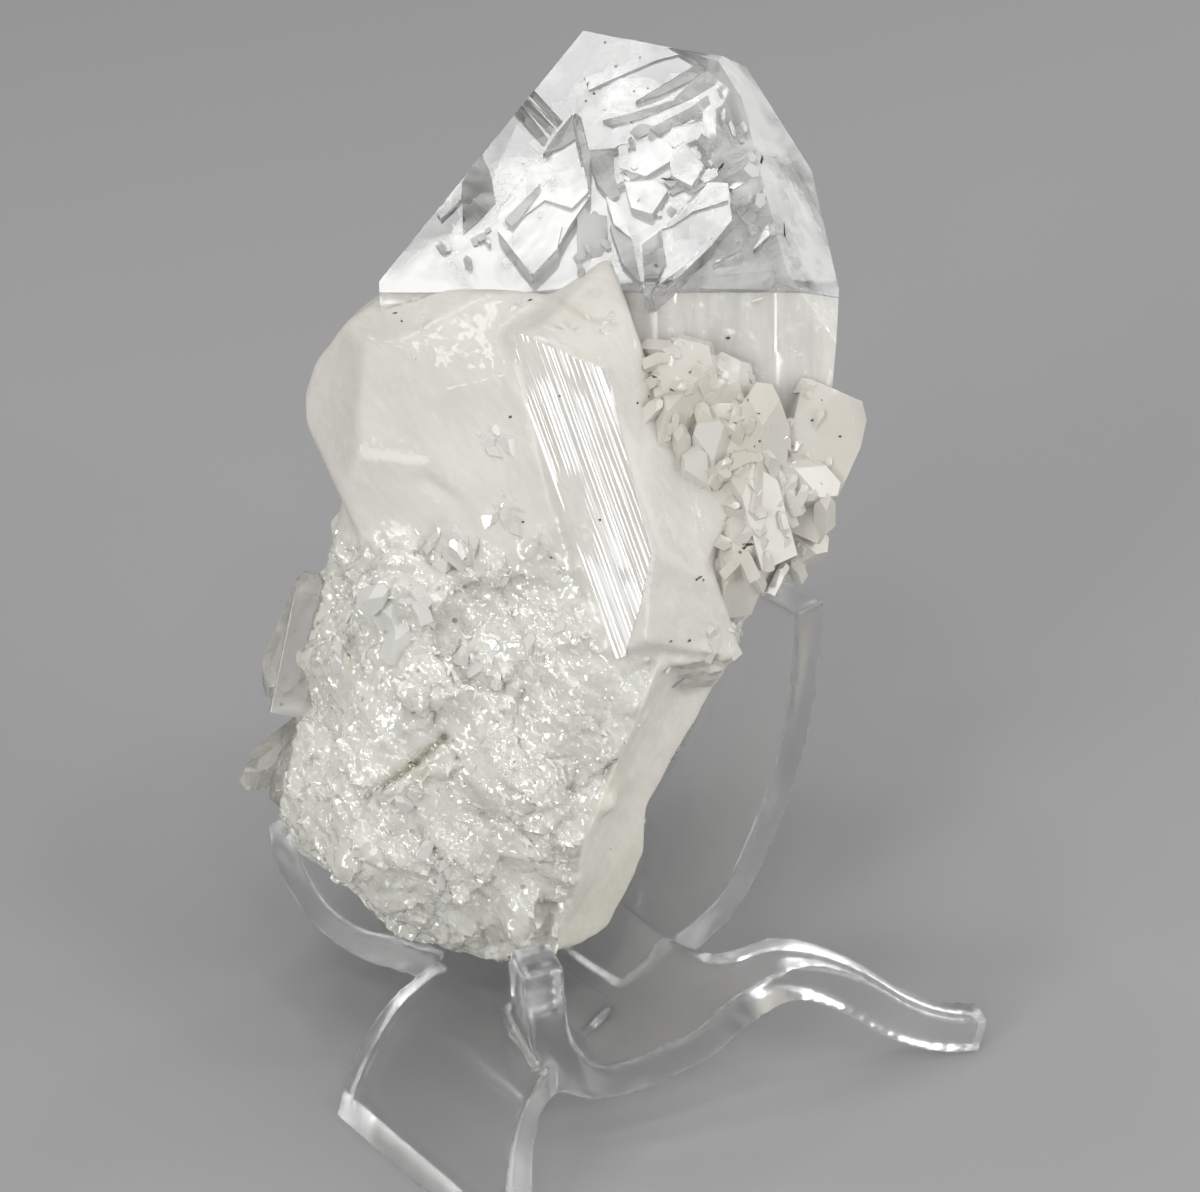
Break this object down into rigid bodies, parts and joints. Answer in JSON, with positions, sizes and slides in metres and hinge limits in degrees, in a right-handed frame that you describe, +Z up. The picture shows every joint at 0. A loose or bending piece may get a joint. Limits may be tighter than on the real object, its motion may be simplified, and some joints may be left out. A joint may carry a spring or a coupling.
{
  "type": "mineral specimen on display stand",
  "caption": "Upright cluster of intergrown pyramidal and blocky mineral crystals leaning back on a low bent clear stand with a lip in front and curved supports behind.",
  "frame": {"origin": "middle of the part's outline seen from above, on the plane its stand rests on", "axes": "+Z up, -Y towards the viewer in front of the stand's lip, +X to that viewer's right"},
  "size_m": [0.0796, 0.087, 0.0948],
  "materials": {
    "apophyllite": "glassy and clear at the top, milky to frosted below, smooth crystal faces",
    "clear_acrylic": "clear polished sheet with bright cut edges"
  },
  "bodies": {
    "root": {"apophyllite_cluster": "apophyllite", "display_stand": "clear_acrylic"}
  },
  "joints": []
}
